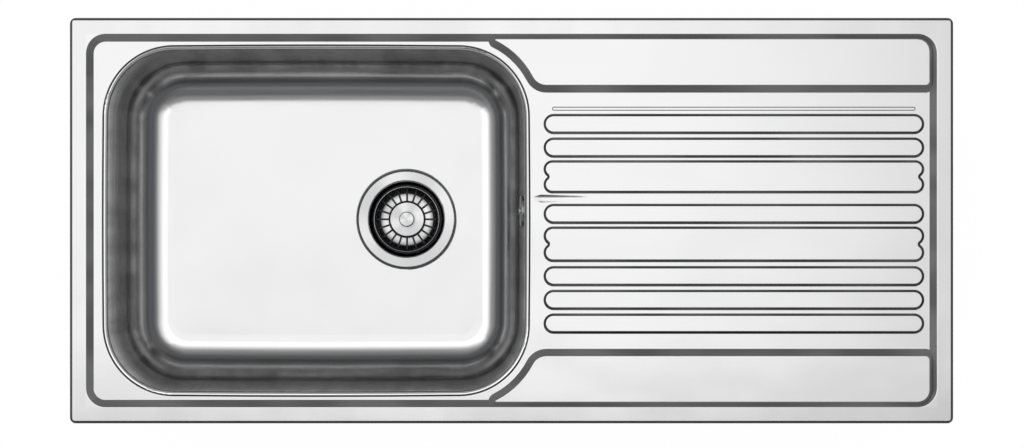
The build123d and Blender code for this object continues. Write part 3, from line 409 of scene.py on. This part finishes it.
# stainless strip as it leaves the mill: greyer and duller than the polished sheet, with the lines
# of the rolls
useMaterial(makeMarkedMetal("stainlessMillFinish", millStrip), "rail_front", "rail_back",
            "rail_left", "rail_right", "earth_tag")

# zinc plating of the clips
zincPlate = {
    "colours": ("#bcc4cc", "#c6c4b6"),   # clear chromate shows faint blue and straw tints
    "tintSize": 0.009,
    "roughness": (0.24, 0.36),
    "grain": 0.0006,
    "grainBump": (0.4, 0.000012),        # strength, depth
}


def makeZincPlate(opts):
    # steel, pressed or turned, then electroplated with zinc: bright and bluish, with uneven tints
    material, tree = newMaterial("steelZincPlated")
    place = addNode(tree, "ShaderNodeTexCoord")
    tints = addNode(tree, "ShaderNodeTexNoise", {"Scale": 1 / opts["tintSize"], "Detail": 2.0},
                    {0: (place, "Object")})
    blend = addNode(tree, "ShaderNodeMapRange", fromTo(noiseCut["hard"]), {0: (tints, 0)})
    colour = addNode(tree, "ShaderNodeMix", {"data_type": "RGBA", "A": linear(opts["colours"][0]),
                     "B": linear(opts["colours"][1])}, {"Factor": (blend, 0)})
    rough = addNode(tree, "ShaderNodeMapRange", fromTo(noiseCut["soft"], opts["roughness"]),
                    {0: (tints, 0)})
    grain = addNode(tree, "ShaderNodeTexNoise", {"Scale": 1 / opts["grain"], "Detail": 2.0},
                    {0: (place, "Object")})
    strength, depth = opts["grainBump"]
    bump = addNode(tree, "ShaderNodeBump", {"Strength": strength, "Distance": depth},
                   {"Height": (grain, 0)})
    metal = addNode(tree, "ShaderNodeBsdfPrincipled", {"Metallic": 1.0},
                    {"Base Color": (colour, "Result"), "Roughness": (rough, 0),
                     "Normal": (bump, 0)})
    addNode(tree, "ShaderNodeOutputMaterial", links={0: (metal, 0)})
    return material


zinc = makeZincPlate(zincPlate)
useMaterial(zinc, *[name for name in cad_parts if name.startswith("clip_")])

# foam strip and bitumen sheet
foamSeal = {"colours": ("#1b1b1c", "#38393b"), "cell": 0.0011, "wall": (0.02, 0.16),
            "bump": (0.7, 0.00025), "roughness": 0.9, "specular": 0.3}
padSheet = {"colours": ("#2b2b2d", "#3d3d40"), "cell": 0.0065, "wall": (0.02, 0.16),
            "bump": (0.7, 0.0007), "roughness": 0.75, "specular": 0.35}


def makeCellular(name, opts):
    # dark sheet whose surface is a field of small cells with raised walls
    material, tree = newMaterial(name)
    place = addNode(tree, "ShaderNodeTexCoord")
    cells = addNode(tree, "ShaderNodeTexVoronoi",
                    {"feature": "DISTANCE_TO_EDGE", "Scale": 1 / opts["cell"]},
                    {0: (place, "Object")})
    # the raised cell walls are painted lighter: a painted highlight on their ridges
    wall = addNode(tree, "ShaderNodeMapRange", fromTo(opts["wall"], (1.0, 0.0)), {0: (cells, 0)})
    colour = addNode(tree, "ShaderNodeMix", {"data_type": "RGBA", "A": linear(opts["colours"][0]),
                     "B": linear(opts["colours"][1])}, {"Factor": (wall, 0)})
    strength, depth = opts["bump"]
    bump = addNode(tree, "ShaderNodeBump", {"Strength": strength, "Distance": depth},
                   {"Height": (wall, 0)})
    sheet = addNode(tree, "ShaderNodeBsdfPrincipled",
                    {"Roughness": opts["roughness"], "Specular IOR Level": opts["specular"]},
                    {"Base Color": (colour, "Result"), "Normal": (bump, 0)})
    addNode(tree, "ShaderNodeOutputMaterial", links={0: (sheet, 0)})
    return material


# closed-cell foam strip: matt near-black with fine pores, their walls given a painted highlight
useMaterial(makeCellular("rubberFoamClosedCell", foamSeal), "rim_seal")
# bitumen sheet rolled with a cell pattern: matt dark grey, with a painted highlight on the raised
# walls
useMaterial(makeCellular("bitumenEmbossed", padSheet), "bowl_pad", "drainer_pad")

# moulded rubber and plastic
rubber = {"colours": ("#101011", "#1c1c1e"), "mottle": 0.006, "grain": 0.0007,
          "bump": (0.4, 0.00002), "roughness": (0.45, 0.6), "ior": 1.52}
wastePlastic = {"colours": ("#dcdcd7", "#d0d0ca"), "mottle": 0.03, "grain": 0.0016,
                "bump": (0.4, 0.00003), "roughness": (0.36, 0.48), "ior": 1.49}


def makeMoulded(name, opts):
    # a moulded surface: nearly even colour, faint flow mottling and the mould's fine eroded grain
    material, tree = newMaterial(name)
    place = addNode(tree, "ShaderNodeTexCoord")
    mottle = addNode(tree, "ShaderNodeTexNoise", {"Scale": 1 / opts["mottle"], "Detail": 3.0},
                     {0: (place, "Object")})
    colour = addNode(tree, "ShaderNodeMix", {"data_type": "RGBA", "A": linear(opts["colours"][0]),
                     "B": linear(opts["colours"][1])}, {"Factor": (mottle, 0)})
    rough = addNode(tree, "ShaderNodeMapRange", fromTo(noiseCut["soft"], opts["roughness"]),
                    {0: (mottle, 0)})
    grain = addNode(tree, "ShaderNodeTexNoise", {"Scale": 1 / opts["grain"], "Detail": 2.0},
                    {0: (place, "Object")})
    strength, depth = opts["bump"]
    bump = addNode(tree, "ShaderNodeBump", {"Strength": strength, "Distance": depth},
                   {"Height": (grain, 0)})
    body = addNode(tree, "ShaderNodeBsdfPrincipled", {"IOR": opts["ior"]},
                   {"Base Color": (colour, "Result"), "Roughness": (rough, 0), "Normal": (bump, 0)})
    addNode(tree, "ShaderNodeOutputMaterial", links={0: (body, 0)})
    return material


# nitrile rubber, moulded: dark with a low sheen
useMaterial(makeMoulded("rubberNitrileMoulded", rubber), "flange_gasket", "basket_seal",
            "overflow_gasket", "upper_union_seal", "lower_union_seal")
# polypropylene, injection moulded: off-white with a waxy sheen
plastic = makeMoulded("polypropyleneMoulded", wastePlastic)
useMaterial(plastic, "waste_body", "overflow_elbow", "clamp_washer", "upper_union_nut",
            "lower_union_nut", "overflow_pipe")
print("materials done")

# new pieces: how close points lie, in metres, to be merged, to count as level, or to lie on a cut
closeness = {"merged": 0.000002, "level": 0.000001, "cut": 0.0000001}


def addPiece(shape, name, material, body):
    bmesh.ops.remove_doubles(shape, verts=shape.verts, dist=closeness["merged"])
    bmesh.ops.recalc_face_normals(shape, faces=shape.faces)
    mesh = bpy.data.meshes.new(name)
    shape.to_mesh(mesh)
    shape.free()
    mesh.materials.append(material)
    piece = bpy.data.objects.new(name, mesh)
    bpy.context.scene.collection.objects.link(piece)
    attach(piece, body)
    return piece


def addThread(shape, centre, bottom, top, opts):
    # helical ridge about a vertical axis, from its lowest point upwards
    root, crest, pitch, flat = opts["root"], opts["crest"], opts["pitch"], opts["flat"]
    rise = (pitch - flat) / 2
    corners = [(root, 0), (crest, rise), (crest, rise + flat), (root, pitch)]
    verts = [shape.verts.new((centre[0] + r, centre[1], bottom + z)) for r, z in corners]
    edges = [shape.edges.new(pair) for pair in zip(verts, verts[1:])]
    turns = int((top - bottom) / pitch) - 1
    bmesh.ops.spin(shape, geom=verts + edges, cent=centre, axis=(0, 0, 1),
                   dvec=(0, 0, pitch / opts["steps"]), angle=2 * math.pi * turns,
                   steps=turns * opts["steps"])


def addDisc(shape, centre, radius, bottom, top, segments, soft, turn=0.0):
    # upright prism or cylinder with softened rims
    made = bmesh.ops.create_cone(shape, cap_ends=True, segments=segments, radius1=radius,
                                 radius2=radius, depth=top - bottom)["verts"]
    bmesh.ops.rotate(shape, verts=made, cent=(0, 0, 0), matrix=Matrix.Rotation(turn, 3, "Z"))
    bmesh.ops.translate(shape, verts=made, vec=(centre[0], centre[1], (bottom + top) / 2))
    rims = {e for v in made for e in v.link_edges
            if abs(e.verts[0].co.z - e.verts[1].co.z) < closeness["level"]}
    bmesh.ops.bevel(shape, geom=list(rims), affect="EDGES", offset=soft, segments=2, profile=0.5,
                    material=-1)


# the clips' screws with their threads
clipScrew = {
    "thread": {"root": 0.00253, "crest": 0.00299, "pitch": 0.001, "flat": 0.00025, "steps": 14},
    "threadSunk": 0.0004,       # how far the thread starts inside the head
    "shank": 0.003,
    "collar": 0.0044,
    "collarHeight": 0.0015,
    "head": 0.0056,
    "headHeight": 0.004,
    "hangerRoom": 0.0034,       # from the top collar's top to the lower collar's top
    "slot": (0.0014, 0.0014, 0.0036),  # width, depth and half length
    "soft": 0.0003,             # rounding of the rims
    "segments": 28,
}


def makeClipScrew(name, opts):
    low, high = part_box(name)
    centre = ((low.x + high.x) / 2, (low.y + high.y) / 2, 0)
    along = high.y - low.y > high.x - low.x
    turn = math.pi / 2 if along else 0.0
    headTop = low.z + opts["headHeight"]
    lowerTop = high.z - opts["hangerRoom"]
    collarHeight, segments, soft = opts["collarHeight"], opts["segments"], opts["soft"]
    shape = bmesh.new()
    # hexagon head, its slot pressed in from below
    addDisc(shape, centre, opts["head"], low.z, headTop, 6, soft, turn)
    width, depth, reach = opts["slot"]
    ends = ((1, 0, 0), reach), ((-1, 0, 0), reach), ((0, 1, 0), width / 2), ((0, -1, 0), width / 2)
    for normal, distance in ends:
        if along:
            normal = (normal[1], normal[0], 0)
        bmesh.ops.bisect_plane(shape, geom=shape.verts[:] + shape.edges[:] + shape.faces[:],
                               dist=closeness["cut"], plane_no=normal,
                               plane_co=Vector(centre) + distance * Vector(normal))
    halfX, halfY = (width / 2, reach) if along else (reach, width / 2)
    underside = [(f, f.calc_center_median()) for f in shape.faces if f.normal.z < -0.9]
    floor = [f for f, middle in underside
             if abs(middle.x - centre[0]) < halfX and abs(middle.y - centre[1]) < halfY]
    raised = bmesh.ops.extrude_face_region(shape, geom=floor)["geom"]
    bmesh.ops.delete(shape, geom=floor, context="FACES_ONLY")
    raised = [v for v in raised if isinstance(v, bmesh.types.BMVert)]
    bmesh.ops.translate(shape, verts=raised, vec=(0, 0, depth))
    # collars above and below the hanger, and the shank between them
    addDisc(shape, centre, opts["collar"], high.z - collarHeight, high.z, segments, soft)
    addDisc(shape, centre, opts["shank"], lowerTop - collarHeight / 2, high.z - collarHeight / 2,
            segments, soft)
    addDisc(shape, centre, opts["collar"], lowerTop - collarHeight, lowerTop, segments, soft)
    addThread(shape, centre, headTop - opts["threadSunk"], lowerTop, opts["thread"])
    body = name.replace("clip_", "screw_").replace("_screw", "")
    piece = addPiece(shape, name + "_threaded", zinc, body)
    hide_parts(name)


for number in range(1, 9):
    makeClipScrew(f"clip_{number}_screw", clipScrew)
print("clip screws done")

# the thread of the waste outlet, and where it starts and ends above the outlet's mouth
outletThread = {"root": 0.0237, "crest": 0.02425, "pitch": 0.0023, "flat": 0.0005, "steps": 56,
                "bottom": 0.001, "top": 0.0205}


def makeOutletThread(opts):
    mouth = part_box("waste_body")[0].z
    shape = bmesh.new()
    addThread(shape, (outletCentre.x, outletCentre.y, 0), mouth + opts["bottom"],
              mouth + opts["top"], opts)
    addPiece(shape, "outlet_thread", plastic, "sink")


makeOutletThread(outletThread)

# spot welds that hold the rails under the rim
railWelds = {
    "radius": 0.0017,
    "height": 0.0003,
    "spacing": 0.056,
    "inset": 0.014,    # from the sink's outer edge
    "level": 0.0030,
    "segments": (12, 6),
}


def makeWelds(name, metal, opts):
    # a row of low round nuggets along a rail's flange
    low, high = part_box(name)
    middle = (low + high) / 2
    alongX = high.x - low.x > high.y - low.y
    length = (high.x - low.x) if alongX else (high.y - low.y)
    count = int(length / opts["spacing"])
    halfLength, halfWidth = deckSteel["half"]
    shape = bmesh.new()
    for number in range(count):
        step = (number - (count - 1) / 2) * opts["spacing"]
        made = bmesh.ops.create_uvsphere(shape, u_segments=opts["segments"][0],
                                         v_segments=opts["segments"][1],
                                         radius=opts["radius"])["verts"]
        bmesh.ops.scale(shape, verts=made, vec=(1, 1, opts["height"] / opts["radius"]))
        if alongX:
            spot = (middle.x + step, math.copysign(halfWidth - opts["inset"], middle.y))
        else:
            spot = (math.copysign(halfLength - opts["inset"], middle.x), middle.y + step)
        bmesh.ops.translate(shape, verts=made, vec=(*spot, opts["level"]))
    piece = addPiece(shape, name + "_welds", metal, "sink")
    for face in piece.data.polygons:
        face.use_smooth = True


# stainless melted by the welding electrode: small grey-blue nuggets
weldMetal = makeMarkedMetal("stainlessWeld", weldNugget)
for name in ("rail_front", "rail_back", "rail_left", "rail_right"):
    makeWelds(name, weldMetal, railWelds)
print("welds and threads done")

# studio light
softbox = {
    "centre": (-0.1, 0.55),
    "height": 2.0,             # above the worktop
    "size": (4.6, 3.2),
    "watts": 57.0,
    "glowFloor": 0.10,         # share of the light left at its dim border
    "fadeLeft": (0.24, 0.045),   # full and dim, as shares of the length from the left
    "fadeRight": (0.56, 0.93),
    "fadeFront": (0.239, 0.150),  # and of the width from the front
    "fadeBack": (0.58, 0.88),
}
fill = {"size": 6.0, "height": 4.5, "watts": 300.0}   # for matt surfaces only
sky = {
    "below": 0.8,
    "above": 0.12,
    "horizon": (-0.05, 0.0),   # heights here are sines of the angle above level
    "band": (0.10, 0.22, 0.58, 0.72),   # a lighter band round the room: none, full, full, none
    "bandLight": 0.34,
}
white = linear("#ffffff")


def makeSoftbox(opts):
    # one large lamp overhead whose light fades towards its borders
    lamp = bpy.data.lights.new("softbox", "AREA")
    lamp.shape = "RECTANGLE"
    lamp.size, lamp.size_y = opts["size"]
    lamp.energy = opts["watts"]
    lamp.use_nodes = True
    tree = lamp.node_tree
    tree.nodes.clear()
    place = addNode(tree, "ShaderNodeNewGeometry")
    parts = addNode(tree, "ShaderNodeSeparateXYZ", links={0: (place, "Parametric")})
    light = None
    for key, axis in (("fadeLeft", "X"), ("fadeRight", "X"), ("fadeFront", "Y"), ("fadeBack", "Y")):
        full, dim = opts[key]
        ends = ((full, dim), (1.0, 0.0)) if full < dim else ((dim, full), (0.0, 1.0))
        fade = addNode(tree, "ShaderNodeMapRange",
                       {"interpolation_type": "SMOOTHSTEP", **fromTo(*ends)},
                       {0: (parts, axis)})
        if light is None:
            light = fade
        else:
            light = addNode(tree, "ShaderNodeMath", {"operation": "MULTIPLY"},
                            {0: (light, 0), 1: (fade, 0)})
    light = addNode(tree, "ShaderNodeMapRange", fromTo((0.0, 1.0), (opts["glowFloor"], 1.0)),
                    {0: (light, 0)})
    glow = addNode(tree, "ShaderNodeEmission", {"Color": white}, {"Strength": (light, 0)})
    addNode(tree, "ShaderNodeOutputLight", links={0: (glow, 0)})
    holder = bpy.data.objects.new("softbox", lamp)
    holder.location = (*opts["centre"], opts["height"])
    holder.visible_camera = False
    bpy.context.scene.collection.objects.link(holder)


def makeFill(opts):
    lamp = bpy.data.lights.new("fill", "AREA")
    lamp.size = opts["size"]
    lamp.energy = opts["watts"]
    holder = bpy.data.objects.new("fill", lamp)
    holder.location = (0, 0, opts["height"])
    holder.visible_camera = False
    holder.visible_glossy = False
    bpy.context.scene.collection.objects.link(holder)


def makeSky(opts):
    # the dim room that the steel reflects, with a lighter band round it
    world = bpy.data.worlds.new("studio")
    bpy.context.scene.world = world
    world.use_nodes = True
    tree = world.node_tree
    tree.nodes.clear()
    place = addNode(tree, "ShaderNodeTexCoord")
    parts = addNode(tree, "ShaderNodeSeparateXYZ", links={0: (place, "Generated")})
    shade = addNode(tree, "ShaderNodeMapRange",
                    fromTo(opts["horizon"], (opts["below"], opts["above"])), {0: (parts, "Z")})
    band = addNode(tree, "ShaderNodeMath", {"operation": "MULTIPLY", 1: opts["bandLight"]},
                   {0: (between(tree, (parts, "Z"), opts["band"]), 0)})
    shade = addNode(tree, "ShaderNodeMath", {"operation": "ADD"}, {0: (shade, 0), 1: (band, 0)})
    back = addNode(tree, "ShaderNodeBackground", {"Color": white}, {"Strength": (shade, 0)})
    addNode(tree, "ShaderNodeOutputWorld", links={0: (back, 0)})


makeSoftbox(softbox)
makeFill(fill)
makeSky(sky)

# pale floor
studioFloor = {
    "size": 14.0,
    "drop": 0.0005,        # below the sink's lowest point
    "colour": "#f4f4f4",
    "white": 0.97,         # share of plain white that camera and reflections see in it
}


def makeFloorMaterial(opts):
    # plain white to the eye and in reflections, matt and pale for the light, clear from below so
    # that the underside of the sink can be seen
    material, tree = newMaterial("paleFloor")
    paths = addNode(tree, "ShaderNodeLightPath")
    seen = addNode(tree, "ShaderNodeMath", {"operation": "MAXIMUM"},
                   {0: (paths, "Is Camera Ray"), 1: (paths, "Is Glossy Ray")})
    seen = addNode(tree, "ShaderNodeMath", {"operation": "MAXIMUM"},
                   {0: (seen, 0), 1: (paths, "Is Transmission Ray")})
    share = addNode(tree, "ShaderNodeMath", {"operation": "MULTIPLY", 1: opts["white"]},
                    {0: (seen, 0)})
    matt = addNode(tree, "ShaderNodeBsdfDiffuse", {"Color": linear(opts["colour"])})
    glow = addNode(tree, "ShaderNodeEmission", {"Color": white, "Strength": 1.0})
    top = addNode(tree, "ShaderNodeMixShader", links={0: (share, 0), 1: (matt, 0), 2: (glow, 0)})
    side = addNode(tree, "ShaderNodeNewGeometry")
    clear = addNode(tree, "ShaderNodeBsdfTransparent")
    both = addNode(tree, "ShaderNodeMixShader",
                   links={0: (side, "Backfacing"), 1: (top, 0), 2: (clear, 0)})
    addNode(tree, "ShaderNodeOutputMaterial", links={0: (both, 0)})
    return material


def makeFloor(opts):
    shape = bmesh.new()
    bmesh.ops.create_grid(shape, x_segments=1, y_segments=1, size=opts["size"] / 2)
    bmesh.ops.translate(shape, verts=shape.verts, vec=(0, 0, cadBox[0][2] - opts["drop"]))
    mesh = bpy.data.meshes.new("floor")
    shape.to_mesh(mesh)
    shape.free()
    mesh.materials.append(makeFloorMaterial(opts))
    floor = bpy.data.objects.new("floor", mesh)
    bpy.context.scene.collection.objects.link(floor)


makeFloor(studioFloor)

# camera straight above, as in the photograph
camera = {
    "target": (0.0005, -0.0037),
    "height": 3.7,             # above the rim
    "rimLevel": 0.005,
    "frameWidth": 1.1353,      # metres across the picture at the rim
    "sensor": 36.0,            # millimetres
    "farthest": 50.0,
}


def makeCamera(opts):
    lens = bpy.data.cameras.new("camera")
    lens.sensor_width = opts["sensor"]
    lens.lens = opts["sensor"] * opts["height"] / opts["frameWidth"]
    lens.clip_end = opts["farthest"]
    eye = bpy.data.objects.new("camera", lens)
    eye.location = (*opts["target"], opts["rimLevel"] + opts["height"])
    bpy.context.scene.collection.objects.link(eye)
    bpy.context.scene.camera = eye


makeCamera(camera)
bpy.context.scene.view_settings.view_transform = "Standard"
print("studio done")
